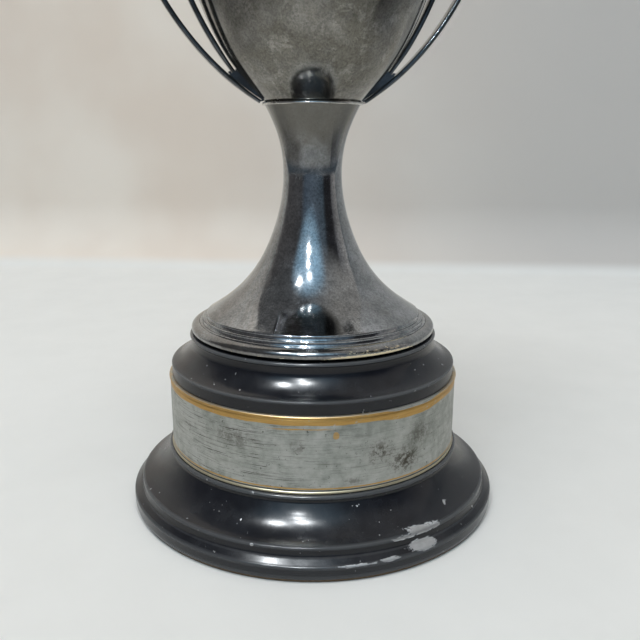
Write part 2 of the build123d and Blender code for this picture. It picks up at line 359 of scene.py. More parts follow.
def turned(name, outline, slices=240, waver=0.0, waver_size=40.0, seed=0.0):
    """A piece of revolution from a closed outline in mm, which runs up its outside and back down its
    inside. It gets a run map in mm, an edge mask, and a slight hand-made waver."""
    outline = held(outline)
    marks = edge_marks(outline)
    lengths = [0.0]
    for a, b in zip(outline, outline[1:] + outline[:1]):
        lengths.append(lengths[-1] + math.dist(a, b))
    widest = max(r for r, z in outline)
    vertices, edge_values, rings = [], [], []
    for (r, z), mark in zip(outline, marks):
        ring = []
        for j in range(slices if r > 1e-6 else 1):
            angle = 2 * math.pi * j / slices
            x, y = -r * math.sin(angle), r * math.cos(angle)
            spot = Vector((x, y, z)) / waver_size + Vector((seed, 0, 0))
            grow = 1 + waver * noise.noise(spot) / max(r, 8.0)
            ring.append(len(vertices))
            vertices.append((x * grow * MM, y * grow * MM, z * MM))
            edge_values.append(mark)
        rings.append(ring)
    faces, runs = [], []
    for i, ring in enumerate(rings):
        after = rings[(i + 1) % len(rings)]
        if len(ring) == 1 and len(after) == 1:
            continue
        low, high = lengths[i], lengths[i + 1]
        for j in range(slices):
            k = (j + 1) % slices
            left, right = (math.pi * widest * (2 * t / slices - 1) for t in (j, j + 1))
            corners = [(ring[j % len(ring)], (left, low)), (ring[k % len(ring)], (right, low)),
                       (after[k % len(after)], (right, high)), (after[j % len(after)], (left, high))]
            if len(ring) == 1:
                corners.pop(1)
            if len(after) == 1:
                corners.pop(3)
            faces.append([c[0] for c in corners])
            runs.extend(c[1] for c in corners)
    mesh = bpy.data.meshes.new(name)
    mesh.from_pydata(vertices, [], faces)
    layer = mesh.uv_layers.new(name="run")
    for loop, place in zip(layer.data, runs):
        loop.uv = place
    mask = mesh.attributes.new("edge", "FLOAT", "POINT")
    mask.data.foreach_set("value", edge_values)
    mesh.shade_smooth()
    mesh.set_sharp_from_angle(angle=math.radians(32))
    return in_scene(name, mesh)


def place_piece(piece, material, stands_for):
    """Finishes a piece in a material, and puts it in the place of its CAD node."""
    piece.data.materials.clear()
    piece.data.materials.append(material)
    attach(piece, "root")
    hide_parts(stands_for)


bowl_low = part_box("bowl")[0].z / MM
rim_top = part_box("rim_bead")[1].z / MM
rim_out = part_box("rim_bead")[1].x / MM
sheet, rim_wire = 1.1, 1.7
joint_radius = 18.7
bowl_curve = [
    (joint_radius, bowl_low),
    (22.7, 165.0),
    (30.4, 174.0),
    (37.9, 186.5),
    (43.3, 199.5),
    (50.6, 227.0),
    (54.6, 256.0),
    (57.2, 288.0),
    (rim_out - rim_wire, rim_top - rim_wire),
]
bowl_outside = spread_points(bowl_curve)
bowl_inside = [(joint_radius - 0.6, bowl_low + sheet)] + inset(bowl_outside, sheet)[4:]
bowl_floor = [(joint_radius * k / 6, bowl_low) for k in range(6)]
bowl_outline = bowl_floor + bowl_outside + bowl_inside[::-1] + [(0.0, bowl_low + sheet)]
bowl = turned("bowl_shell", bowl_outline, slices=216, waver=0.10, waver_size=34.0, seed=3.0)
bowl_side = joint_radius + sum(math.dist(a, b) for a, b in zip(bowl_outside, bowl_outside[1:]))
bowl_silver = old_silver("bowl_silver", (0.36, 0.355, 0.34), (0.18, 0.175, 0.155), 0.08, 0.05, 44.0, 0.52,
                         streak=0.45, inside_from=bowl_side)
place_piece(bowl, bowl_silver, "bowl")


# ---- rim bead
# A round wire, soldered on the mouth to stiffen it. Fingers keep it brighter than the bowl.
rim_outline = arc((rim_out - rim_wire, rim_top - rim_wire), rim_wire, -140, 220)[:-1]
rim = turned("rim_wire", rim_outline, slices=256)
rim_silver = old_silver("rim_silver", (0.45, 0.44, 0.42), (0.2, 0.19, 0.17), 0.14, 0.12, 60.0, 0.45)
place_piece(rim, rim_silver, "rim_bead")


# ---- handle straps
# Four lengths of half-round wire, bent by hand: an outer and an inner strap to each
# handle. Each is swept along its centre line by one Geometry Nodes tree.
def strap_tree():
    tree = bpy.data.node_groups.new("strap", "GeometryNodeTree")
    for title, kind in (("Path", "Geometry"), ("Width", "Float"), ("Thickness", "Float"),
                        ("Rounding", "Float"), ("Tip", "Float"), ("Finish", "Material")):
        tree.interface.new_socket(title, in_out="INPUT", socket_type="NodeSocket" + kind)
    tree.interface.new_socket("Strap", in_out="OUTPUT", socket_type="NodeSocketGeometry")
    given = tree.nodes.new("NodeGroupInput")
    out = tree.nodes.new("NodeGroupOutput")
    line = add_node(tree, "GeometryNodeMeshToCurve", None, Mesh=given.outputs["Path"])
    upright = add_node(tree, "GeometryNodeSetCurveNormal", {"mode": "FREE"}, Curve=line.outputs[0],
                       Normal=(0.0, 1.0, 0.0))
    along = tree.nodes.new("GeometryNodeSplineParameter").outputs["Factor"]
    taper = ease(tree, along, 0.0, 0.12, given.outputs["Tip"], 1.0)
    section = add_node(tree, "GeometryNodeCurvePrimitiveQuadrilateral", {"mode": "RECTANGLE"},
                       Width=given.outputs["Width"], Height=given.outputs["Thickness"])
    rounded = add_node(tree, "GeometryNodeFilletCurve", {"mode": "POLY"}, Curve=section.outputs[0], Count=6,
                       Radius=given.outputs["Rounding"])
    swept = add_node(tree, "GeometryNodeCurveToMesh", None, Curve=upright.outputs[0],
                     Profile_Curve=rounded.outputs[0], Scale=taper, Fill_Caps=True)
    smooth = add_node(tree, "GeometryNodeSetShadeSmooth", None, Geometry=swept.outputs[0])
    real = add_node(tree, "GeometryNodeRealizeInstances", None, Geometry=smooth.outputs[0])
    dressed = add_node(tree, "GeometryNodeSetMaterial", None, Geometry=real.outputs[0],
                       Material=given.outputs["Finish"])
    tree.links.new(dressed.outputs[0], out.inputs["Strap"])
    return tree


def from_nodes(name, base_mesh, tree, values):
    """Runs a Geometry Nodes tree on a base mesh and keeps the result as a plain mesh."""
    maker = in_scene(name + "_base", base_mesh)
    modifier = maker.modifiers.new("make", "NODES")
    modifier.node_group = tree
    for item in tree.interface.items_tree:
        if item.in_out == "INPUT" and item.name in values:
            modifier[item.identifier] = values[item.name]
    graph = bpy.context.evaluated_depsgraph_get()
    mesh = bpy.data.meshes.new_from_object(maker.evaluated_get(graph))
    bpy.data.objects.remove(maker)
    mesh.name = name
    return in_scene(name, mesh)


def tangent_arcs(start, points):
    """Points along an arc through the first three places, then along arcs tangent to the one before."""
    line, heading = circle_through(start, points[0], points[1])
    for place in points[2:]:
        more, heading = tangent_arc(line[-1], heading, place)
        line = line + more[1:]
    return line


def circle_through(a, b, c):
    """Points along the arc from a by b to c, and the heading at c."""
    ax, ay, bx, by = b[0] - a[0], b[1] - a[1], c[0] - a[0], c[1] - a[1]
    d = 2 * (ax * by - ay * bx)
    ux = (by * (ax * ax + ay * ay) - ay * (bx * bx + by * by)) / d
    uy = (ax * (bx * bx + by * by) - bx * (ax * ax + ay * ay)) / d
    centre, radius = (a[0] + ux, a[1] + uy), math.hypot(ux, uy)
    return sample_arc(centre, radius, a, c, 1 if d > 0 else -1)


def tangent_arc(start, heading, end):
    """Points along the arc that leaves start on the heading and comes to end, and the heading there."""
    vx, vy = end[0] - start[0], end[1] - start[1]
    side = (-heading[1], heading[0])
    bend = 2 * (vx * side[0] + vy * side[1]) / (vx * vx + vy * vy)
    centre = (start[0] + side[0] / bend, start[1] + side[1] / bend)
    return sample_arc(centre, abs(1 / bend), start, end, 1 if bend > 0 else -1)


def sample_arc(centre, radius, start, end, way):
    """Points about 1.2 mm apart, and the unit heading at the end. way is 1 for anticlockwise."""
    first = math.atan2(start[1] - centre[1], start[0] - centre[0])
    last = math.atan2(end[1] - centre[1], end[0] - centre[0])
    swing = (way * (last - first)) % (2 * math.pi)
    count = max(4, round(swing * radius / 1.2))
    line = []
    for i in range(count + 1):
        angle = first + way * swing * i / count
        line.append((centre[0] + radius * math.cos(angle), centre[1] + radius * math.sin(angle)))
    return line, (-way * math.sin(last), way * math.cos(last))


strap_width, strap_thickness = 6.0, 1.9
strap_silver = old_silver("strap_silver", (0.24, 0.26, 0.28), (0.08, 0.08, 0.08), 0.10, 0.08, 70.0, 0.5,
                          spin=0.0, streak=0.0, mapped=False)
strap_nodes = strap_tree()
strap_lines = {
    "outer_strap": ((20.4, 160.9), [(39.6, 176.4), (55.4, 197.0), (77.6, 252.0), (70.5, 281.5),
                                    (57.6, 282.0)]),
    "inner_strap": ((30.2, 171.6), [(38.6, 183.9), (46.1, 198.6), (60.6, 240.0), (77.9, 265.3)]),
}
for side, hand in ((-1, "left"), (1, "right")):
    for kind, (start, points) in strap_lines.items():
        line = [(side * x * MM, 0.0, z * MM) for x, z in tangent_arcs(start, points)]
        path = bpy.data.meshes.new("path")
        path.from_pydata(line, [(i, i + 1) for i in range(len(line) - 1)], [])
        strap = from_nodes(hand + "_" + kind + "_wire", path, strap_nodes, {
            "Width": strap_width * MM, "Thickness": strap_thickness * MM,
            "Rounding": 0.45 * strap_thickness * MM, "Tip": 0.72, "Finish": strap_silver})
        place_piece(strap, strap_silver, hand + "_" + kind)


# ---- handle pads and webs
# Small plates and solder that join the straps to the bowl, plated with the handles.
def give(material, *names):
    """New material for CAD nodes that keep their own mesh."""
    for name in names:
        cad[name].data.materials.clear()
        cad[name].data.materials.append(material)


give(strap_silver, "left_upper_pad", "left_lower_web", "right_upper_pad", "right_lower_web")


# ---- joint ring
# A bright washer soldered between bowl and stem. Rubbing keeps its edge clean.
joint_low, joint_high = (corner.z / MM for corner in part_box("joint_ring")[:2])
ring_out, ring_in, ring_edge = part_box("joint_ring")[1].x / MM, 11.7, 0.4
ring_outline = [
    (ring_in, joint_low),
    *arc((ring_out - ring_edge, joint_low + ring_edge), ring_edge, -90, 0, 0.12),
    *arc((ring_out - ring_edge, joint_high - ring_edge), ring_edge, 0, 90, 0.12),
    (ring_in, joint_high),
]
joint = turned("joint_washer", ring_outline, slices=160)
joint_silver = old_silver("joint_silver", (0.70, 0.69, 0.66), (0.36, 0.34, 0.31), 0.16, 0.1, 120.0, 0.4)
place_piece(joint, joint_silver, "joint_ring")


# ---- stem and foot
# One trumpet of spun brass, silver plated, darkened to a glossy blue-black, with three
# fine steps above the edge of the foot where the plating is rubbed through to brass.
stem_low, stem_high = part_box("stem_foot")
stem_top, foot_bottom, foot_radius = stem_high.z / MM, stem_low.z / MM, stem_high.x / MM
stem_end = joint_radius - 0.2
stem_curve = [
    (43.0, 78.9),
    (34.6, 84.6),
    (23.6, 96.0),
    (16.6, 109.5),
    (11.6, 135.0),
    (14.3, 150.4),
    (stem_end, stem_top),
]
foot_steps = [
    (foot_radius - sheet, foot_bottom),
    (foot_radius, foot_bottom),
    *arc((foot_radius - 0.5, 75.1), 0.5, 0, 90, 0.15),
    (45.5, 75.5),
    (45.3, 75.8),
    *arc((44.65, 76.75), 0.5, -20, 95, 0.15),
    (43.9, 77.2),
    (43.75, 77.5),
    *arc((42.9, 78.3), 0.6, -15, 60, 0.15),
]
stem_outside = spread_points(stem_curve, 0.7)
stem_inside = [(r, z) for r, z in inset(stem_outside, sheet) if z < stem_top - 1.0]
stem_outline = foot_steps + stem_outside[1:] + [(stem_end - sheet, stem_top)] + stem_inside[::-1]
stem_outline += [(43.6, 76.0), (foot_radius - sheet, 74.4)]
stem = turned("stem_and_foot", stem_outline, slices=256, waver=0.05, waver_size=26.0, seed=8.0)
stem_silver = old_silver("stem_silver", (0.40, 0.415, 0.43), (0.25, 0.25, 0.25), 0.07, 0.06, 42.0,
                         0.42, wear=0.3, worn=(-6.0, 10.0), gather=(136.0, 156.0))
place_piece(stem, stem_silver, "stem_foot")


# ---- foot rim
# A quarter-round ring soldered round the edge of the foot, worn to brass below.
foot_rim_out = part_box("foot_rim")[1].x / MM
foot_rim_wide, foot_rim_rise, foot_rim_low = foot_rim_out - foot_radius, 2.3, 72.9
foot_rim_outline = [
    (foot_radius, foot_bottom),
    (foot_rim_out - 0.2, foot_bottom),
    (foot_rim_out - 0.05, foot_bottom + 0.3),
    *[(foot_radius + foot_rim_wide * x, foot_rim_low + foot_rim_rise * y)
      for x, y in arc((0, 0), 1.0, 0, 88, 0.06)],
]
foot_rim = turned("foot_rim_ring", foot_rim_outline, slices=256)
foot_silver = old_silver("foot_silver", (0.36, 0.365, 0.37), (0.17, 0.165, 0.16), 0.09, 0.08, 50.0, 0.42,
                         wear=0.98, worn=(15.0, 22.0))
place_piece(foot_rim, foot_silver, "foot_rim")


# ---- plinth top
# A turned cap and drum under black enamel, soft in gloss, with a film of dust, fine
# scratches, and specks where the enamel is chipped.
def chip_group():
    """A ragged patch round a centre, with half extents Size in metres. Mask ends hard, Near fades out."""
    tree, given, out = new_group(
        "chip",
        [("Place", "Vector", None), ("Centre", "Vector", None), ("Size", "Vector", (0.01, 0.01, 0.01)),
         ("Rag", "Float", 0.5)],
        [("Mask", "Float"), ("Near", "Float")],
    )
    away = add_node(tree, "ShaderNodeVectorMath", {"operation": "SUBTRACT"}, i0=given.outputs["Place"],
                    i1=given.outputs["Centre"]).outputs[0]
    scaled = add_node(tree, "ShaderNodeVectorMath", {"operation": "DIVIDE"}, i0=away,
                      i1=given.outputs["Size"]).outputs[0]
    far = add_node(tree, "ShaderNodeVectorMath", {"operation": "LENGTH"}, i0=scaled).outputs["Value"]
    drawn = stretch(tree, given.outputs["Place"], (0.6, 1.0, 3.0), (0, 0.5, 0))
    ragged = cloud(tree, drawn, 420.0, 9.0, 0.78, 0.5)
    pull = times(tree, minus(tree, ragged, 0.5), given.outputs["Rag"])
    mask = ease(tree, times(tree, pull, 6.0, far), 0.97, 0.86)
    tree.links.new(mask, out.inputs["Mask"])
    tree.links.new(ease(tree, far, 1.2, 0.1), out.inputs["Near"])
    return tree


def dust_group():
    """Dust film: more where the surface faces up, broken by soft noise, with a few paler specks."""
    tree, given, out = new_group(
        "dust",
        [("Place", "Vector", None), ("Amount", "Float", 0.3)],
        [("Film", "Float"), ("Specks", "Float")],
    )
    facing = tree.nodes.new("ShaderNodeNewGeometry").outputs["Normal"]
    lies = ease(tree, axis_of(tree, facing, "Z"), 0.05, 0.95)
    soft = cloud(tree, given.outputs["Place"], 95.0, 5.0, 0.65)
    film = times(tree, times(tree, lies, ease(tree, soft, 0.3, 0.75)), given.outputs["Amount"])
    tree.links.new(film, out.inputs["Film"])
    dots = cloud(tree, given.outputs["Place"], 620.0, 2.0, 0.5)
    rare = cloud(tree, given.outputs["Place"], 60.0, 2.0, 0.5)
    speck = ease(tree, times(tree, rare, 0.25, dots), 0.865, 0.89)
    tree.links.new(speck, out.inputs["Specks"])
    return tree


chip = chip_group()
dust = dust_group()


def black_enamel(name, chips, dusty=0.25, wear=0.3):
    """Black enamel on metal. chips holds the place and half size of each chipped patch, in metres."""
    material, tree, shader, place, run = new_material(name)
    film = use(tree, dust, Place=place, Amount=dusty)
    lines = use(tree, scratches, Run=run, Length=9.0, Lean=0.5, Density=0.25)["Lines"]
    mottle = cloud(tree, place, 130.0, 5.0, 0.6)
    bare = film["Specks"]
    for centre, size, rag in chips:
        knocked = use(tree, chip, Place=place, Centre=centre, Size=size, Rag=rag)["Mask"]
        bare = maths(tree, "MAXIMUM", bare, knocked)
    edge = add_node(tree, "ShaderNodeAttribute", {"attribute_name": "edge"}).outputs["Fac"]
    ragged = cloud(tree, place, 330.0, 5.0, 0.7)
    worn = ease(tree, times(tree, edge, wear, ragged), 1.0, 1.05)
    bare = maths(tree, "MAXIMUM", bare, worn)
    uneven = ease(tree, mottle, 0.3, 0.7)
    colour = blend(tree, uneven, (0.0045, 0.0055, 0.009), (0.009, 0.0105, 0.015))
    colour = blend(tree, film["Film"], colour, (0.20, 0.19, 0.18))
    colour = blend(tree, times(tree, lines, 0.3), colour, (0.25, 0.25, 0.25))
    grey = cloud(tree, place, 420.0, 4.0, 0.6)
    metal_tone = blend(tree, grey, (0.36, 0.36, 0.365), (0.62, 0.62, 0.62))
    colour = blend(tree, bare, colour, metal_tone)
    # Every edge is lightened: partly enamel rubbed thin, partly a painted highlight that draws each edge as
    # a bright line.
    rubbed = times(tree, maths(tree, "POWER", edge, 0.7), 0.55)
    colour = blend(tree, rubbed, colour, (0.13, 0.135, 0.14))
    rough = times(tree, mottle, 0.18, 0.105)
    rough = times(tree, film["Film"], 0.5, rough)
    rough = maths(tree, "MULTIPLY_ADD", bare, 0.22, rough, True)
    peel = cloud(tree, place, 520.0, 3.0, 0.5)
    height = times(tree, peel, 0.10, times(tree, bare, -1.0))
    height = minus(tree, height, times(tree, lines, 0.25))
    finish_shader(tree, shader, colour, rough, times(tree, bare, 0.75), height, depth=0.12)
    return material


plinth_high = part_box("plinth_top")[1].z / MM
base_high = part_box("name_band")[0].z / MM
drum_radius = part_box("plinth_top")[1].x / MM
drum_wall = 2.2
shoulder_low = 59.2
cap_radius, cap_neck, cap_bead = 50.7, 50.2, 0.8
cove_top = 66.2
cap_cove = [(cap_neck, cove_top + 0.6), (50.4, 65.8), (51.1, 64.5), (52.5, 62.8), (54.7, 60.8),
            (57.0, 59.6), (57.95, 59.3)]
cap_outline = [
    (drum_radius - drum_wall, base_high),
    (drum_radius, base_high),
    (drum_radius, 45.0),
    *arc((drum_radius - 0.4, shoulder_low - 0.4), 0.4, 0, 75, 0.1),
    *spread_points(cap_cove, 0.4)[::-1],
    (cap_neck, plinth_high - 2 * cap_bead - 0.2),
    *arc((cap_radius - cap_bead, plinth_high - cap_bead), cap_bead, -60, 90, 0.12),
    *[(cap_radius * k / 6, plinth_high) for k in range(5, -1, -1)],
    (0.0, plinth_high - drum_wall),
    (cap_neck - 1.5 * drum_wall, plinth_high - drum_wall),
    (cap_neck - 1.5 * drum_wall, cove_top - drum_wall),
    (drum_radius - drum_wall, shoulder_low - 2 * drum_wall),
]
plinth_top = turned("plinth_cap_and_drum", cap_outline, slices=256)
cap_enamel = black_enamel("cap_enamel", [], dusty=0.05, wear=0.24)
place_piece(plinth_top, cap_enamel, "plinth_top")


# ---- name band
# A sleeve of thinly plated brass with a rolled lip along each edge, pinned at the back.
# Brass shows along both edges, and stains and pits cover its unlettered face.
def stripe(tree, height, low, high, soft=0.1):
    """1 between two heights in mm, with a soft edge."""
    above = ease(tree, height, (low - soft) * MM, (low + soft) * MM)
    return times(tree, above, ease(tree, height, (high + soft) * MM, (high - soft) * MM))


def hump(tree, value, middle, half):
    """1 at the middle, falling to 0 half a width away."""
    return ease(tree, maths(tree, "ABSOLUTE", minus(tree, value, middle)), half, 0.3 * half)


def band_plate():
    """Thin silver over brass: stains, pits and scratches, and brass where the edges are rubbed."""
    material, tree, shader, place, run = new_material("band_plate")
    along = axis_of(tree, run, "X")
    height_here = axis_of(tree, place, "Z")
    film = use(tree, tarnish, Place=place, Patch=60.0, Spread=0.45)
    colour = blend(tree, film["Cloud"], (0.58, 0.595, 0.57), (0.35, 0.37, 0.335))
    colour = blend(tree, times(tree, film["Film"], 0.45), colour, (0.20, 0.215, 0.205))
    smear = cloud(tree, stretch(tree, run, (0.06, 0.9, 1.0), (0, 0, 0.2)), 1.0, 6.0, 0.7, 0.4)
    smeared = times(tree, ease(tree, smear, 0.52, 0.75), 0.5)
    colour = blend(tree, smeared, colour, (0.12, 0.12, 0.10))
    scored = times(tree, hump(tree, along, -45.0, 45.0), 0.7, 0.3)
    for length, lean, density in ((17.0, 0.12, 1.15), (9.0, 0.5, 0.85), (4.0, 1.35, 0.6)):
        lines = use(tree, scratches, Run=run, Length=length, Lean=lean, Density=density)["Lines"]
        colour = blend(tree, times(tree, lines, scored), colour, (0.055, 0.05, 0.04))
    pits = ease(tree, cloud(tree, place, 560.0, 4.0, 0.75), 0.63, 0.68)
    colour = blend(tree, times(tree, pits, 0.7), colour, (0.05, 0.045, 0.035))
    mottle = cloud(tree, place, 480.0, 7.0, 0.80, 0.4)
    for centre, size, strength in band_stains:
        near = use(tree, chip, Place=place, Centre=centre, Size=size, Rag=0.0)["Near"]
        specks = ease(tree, times(tree, near, 0.09, mottle), 0.54, 0.62)
        share = times(tree, near, times(tree, specks, 0.75, 0.25))
        colour = blend(tree, times(tree, share, strength), colour, (0.050, 0.040, 0.024))
    ragged = cloud(tree, stretch(tree, run, (0.12, 0.9, 1)), 1.0, 6.0, 0.65)
    waved = times(tree, minus(tree, ragged, 0.5), 0.0013, height_here)
    waved = times(tree, hump(tree, along, 31.0, 18.0), 0.0010, waved)
    stroke = times(tree, stripe(tree, waved, 49.2, 49.6), hump(tree, along, -14.0, 14.0))
    gold = maths(tree, "MAXIMUM", stripe(tree, waved, band_high - 3.3, band_high), stroke)
    thin = times(tree, minus(tree, ragged, 0.5), 0.0004, height_here)
    gold = maths(tree, "MAXIMUM", gold, stripe(tree, thin, base_high + 1.95, base_high + 2.5))
    spot = use(tree, chip, Place=place, Centre=on_plinth(-1, band_out, 47.0),
               Size=(0.0012, 0.002, 0.0016), Rag=0.2)
    gold = maths(tree, "MAXIMUM", gold, times(tree, spot["Mask"], 0.8))
    gold = times(tree, gold, ease(tree, cloud(tree, place, 300.0, 5.0, 0.7), 0.25, 0.40))
    brushed = cloud(tree, stretch(tree, run, (0.15, 2.0, 1)), 1.0, 5.0, 0.65)
    warm = blend(tree, brushed, (0.36, 0.19, 0.04), (0.80, 0.52, 0.19))
    colour = blend(tree, gold, colour, warm)
    # The groove above the lower lip is painted near black: painted shade in the crease.
    groove_shade = stripe(tree, height_here, base_high + 1.2, base_high + 1.65, 0.12)
    colour = blend(tree, times(tree, groove_shade, 0.8), colour, (0.03, 0.03, 0.025))
    bead = stripe(tree, height_here, base_high + 0.2, base_high + 1.15)
    colour = blend(tree, times(tree, bead, 0.8), colour, (0.52, 0.45, 0.29))
    # A paler line along the top lip: a painted highlight on the rolled edge.
    top_lip_highlight = stripe(tree, height_here, band_high - 0.25, band_high + 1.0, 0.08)
    colour = blend(tree, times(tree, top_lip_highlight, 0.5), colour, (0.50, 0.47, 0.40))
    rough = times(tree, film["Cloud"], 0.12, 0.34)
    rough = times(tree, pits, 0.25, rough)
    height = times(tree, film["Film"], 0.5, times(tree, pits, -1.0))
    height = minus(tree, height, times(tree, smear, 0.4))
    finish_shader(tree, shader, colour, rough, 0.8, height, depth=0.03)
    return material


band_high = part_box("name_band")[1].z / MM
band_out = 59.4


def on_plinth(angle, radius, height):
    """A place on the plinth, in metres. angle is in degrees, to the right of the front."""
    a = math.radians(angle)
    return (radius * math.sin(a) * MM, -radius * math.cos(a) * MM, height * MM)


band_stains = [
    (on_plinth(15, band_out, 38.5), (0.0075, 0.0075, 0.0065), 0.75),
    (on_plinth(26, band_out, 33.5), (0.0100, 0.0100, 0.0070), 0.90),
    (on_plinth(33, band_out, 42.0), (0.0090, 0.0090, 0.0070), 0.55),
    (on_plinth(-14, band_out, 43.0), (0.0050, 0.0050, 0.0040), 0.50),
    (on_plinth(-38, band_out, 44.0), (0.0120, 0.0120, 0.0050), 0.50),
    (on_plinth(5, band_out, 29.0), (0.0060, 0.0060, 0.0020), 0.50),
]
lip_round, lip_sunk, lip_end = 0.6, 0.25, 1.55
face_high = band_high - base_high - 2 * lip_end
band_outline = [
    (drum_radius, base_high),
    (band_out - 0.2, base_high),
    *arc((band_out - lip_sunk, base_high + lip_round), lip_round, -70, 70, 0.12),
    (band_out - 0.12, base_high + 1.35),
    (band_out, base_high + lip_end),
    *[(band_out, base_high + lip_end + face_high * k / 8) for k in range(1, 9)],
    (band_out - 0.12, band_high - 1.35),
    *arc((band_out - lip_sunk, band_high - lip_round), lip_round, -70, 70, 0.12),
    (band_out - 0.2, band_high),
    (drum_radius, band_high),
]
band = turned("name_sleeve", band_outline, slices=256, waver=0.04, waver_size=16.0, seed=5.0)
place_piece(band, band_plate(), "name_band")


# ---- plinth base
# A long cove over a stepped lip, spun and finished in the same black enamel. Its lower
# front edge has been knocked, so grey metal shows in ragged chips.
base_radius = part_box("plinth_base")[1].x / MM
pad_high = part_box("baize_pad")[1].z / MM
fillet_radius, fillet_top, lip_top = 72.9, 11.0, 6.4
base_wall = 2.6
neck_radius, ledge_radius, ledge_bead = 60.2, 60.9, 0.9
inner_corner = (62.0, 13.6)
base_cove = [(neck_radius, 21.8), (62.3, 18.4), (64.5, 15.9), (67.0, 13.9), (69.5, 12.5), (72.0, 11.55)]
base_outline = [
    (base_radius - base_wall, pad_high),
    (base_radius - 0.9, pad_high),
    (base_radius - 0.25, pad_high + 0.5),
    *arc((base_radius - 1.2, pad_high + 1.6), 1.2, -30, 0, 0.2),
    *arc((base_radius - 0.9, lip_top - 0.9), 0.9, 0, 60, 0.15),
    (fillet_radius + 0.6, lip_top + 1.75),
    (fillet_radius + 0.15, lip_top + 2.0),
    (fillet_radius, lip_top + 2.4),
    *arc((fillet_radius - 0.85, fillet_top - 0.05), 0.5, 0, 75, 0.1),
    *spread_points(base_cove, 0.4)[::-1],
    (neck_radius, base_high - 2 * ledge_bead - 0.1),
    *arc((ledge_radius - ledge_bead, base_high - ledge_bead), ledge_bead, -50, 90, 0.12),
    *[(ledge_radius * k / 6, base_high) for k in range(5, -1, -1)],
    (0.0, base_high - base_wall),
    (neck_radius - base_wall, base_high - base_wall),
    (neck_radius - base_wall, base_high - 2 * base_wall),
    inner_corner,
    (fillet_radius - 1.2 * base_wall, fillet_top - base_wall),
    (base_radius - base_wall, lip_top - base_wall),
]
base_chips = [
    (on_plinth(25, 72.2, 11.4), (0.0100, 0.0050, 0.0011), 0.50),
    (on_plinth(18, 72.2, 10.9), (0.0060, 0.0030, 0.0006), 0.60),
    (on_plinth(23, 74.8, 7.4), (0.0070, 0.0040, 0.0017), 0.42),
    (on_plinth(12, 76.0, 6.2), (0.0040, 0.0025, 0.0006), 0.60),
    (on_plinth(3, 76.2, 6.0), (0.0070, 0.0025, 0.0004), 0.80),
    (on_plinth(-26, 72.4, 11.0), (0.0008, 0.0008, 0.0005), 0.3),
    (on_plinth(39, 67.0, 14.0), (0.0006, 0.0012, 0.0022), 0.1),
]
base = turned("plinth_foot", base_outline, slices=288)
base_enamel = black_enamel("base_enamel", base_chips, dusty=0.06, wear=0.30)
place_piece(base, base_enamel, "plinth_base")


# ---- baize pad
# A glued disc of brown felt under the base. Only its edge shows, as a thin tan line.
felt, tree, shader, place, run = new_material("felt")
fibres = cloud(tree, place, 900.0, 5.0, 0.8, 1.0)
felt_tone = blend(tree, fibres, (0.10, 0.055, 0.025), (0.30, 0.19, 0.10))
finish_shader(tree, shader, felt_tone, 0.95, 0.0, fibres, depth=0.25)
shader.inputs["Sheen Weight"].default_value = 0.3
give(felt, "baize_pad")


# ---- gasket and foot plate
# A black fibre disc lifts the foot off the plinth and leaves a gap; its near-black colour is partly the
# fibre and partly painted shadow, the shade in the gap under the foot. The plate of zinc-grey sheet steel
# above it closes the hollow foot and takes the pull of the rod.
fibre_and_shadow, tree, shader, place, run = new_material("fibre_and_shadow")
flecks = cloud(tree, place, 700.0, 5.0, 0.75)
# Near black: the fibre's own tone, deepened into painted shadow for the gap under the foot.
fibre_and_shadow_tone = blend(tree, flecks, (0.006, 0.006, 0.006), (0.028, 0.025, 0.022))
finish_shader(tree, shader, fibre_and_shadow_tone, 0.8, 0.0, flecks, depth=0.08)
give(fibre_and_shadow, "foot_gasket")


def plain_metal(name, low, high, drawn, rust):
    """Bare metal with drawn grain and soft spots of rust or dull oxide."""
    material, tree, shader, place = new_material(name)[:4]
    grain = cloud(tree, stretch(tree, place, drawn), 300.0, 5.0, 0.65)
    spots = ease(tree, cloud(tree, place, 180.0, 6.0, 0.7), 0.54, 0.68)
    colour = blend(tree, grain, low, high)
    colour = blend(tree, times(tree, spots, 0.7), colour, rust)
    rough = times(tree, spots, 0.35, times(tree, grain, 0.2, 0.2))
    metal = minus(tree, 1.0, times(tree, spots, 0.6))
    finish_shader(tree, shader, colour, rough, metal, grain)
    return material


sheet_steel = plain_metal("sheet_steel", (0.30, 0.30, 0.29), (0.50, 0.50, 0.48), (1, 1, 1),
                          (0.16, 0.09, 0.05))
give(sheet_steel, "foot_plate")


# ---- tie rod, washers and nut
# One steel rod pulls the whole stack together, from the boss under the bowl down to
# the nut in the hollow of the base.
rod_steel = plain_metal("rod_steel", (0.26, 0.26, 0.26), (0.46, 0.46, 0.45), (1, 1, 6),
                        (0.14, 0.08, 0.045))
give(rod_steel, "tie_rod", "base_washer", "lock_washer", "base_nut")


# ---- boss and band pins
# Plain brass: the tapped block soldered under the bowl, and the two round-headed pins
# that close the seam of the band at the back.
pin_brass = plain_metal("pin_brass", (0.46, 0.32, 0.13), (0.72, 0.53, 0.25), (1, 1, 1),
                        (0.16, 0.10, 0.05))
give(pin_brass, "bowl_boss", "band_pins")


# ---- floor, room and camera
# The eye is just below the top of the stem and close to the cup, turned a little so that
# the left handle is the nearer one. Sizes here are in metres.
reach, eye = 0.2940, 0.1494
turn, pitch = math.radians(9.0), math.radians(14.46)
camera_data = bpy.data.cameras.new("camera")
camera_data.sensor_width = 36.0
camera_data.lens = 40.84
camera_data.shift_x = 0.0116
camera_data.clip_start = 0.01
camera = in_scene("camera", camera_data)
camera.location = (-reach * math.sin(turn), -reach * math.cos(turn), eye)
camera.rotation_euler = (math.pi / 2 - pitch, 0.0, -turn)
scene.camera = camera
scene.view_settings.view_transform = "Standard"

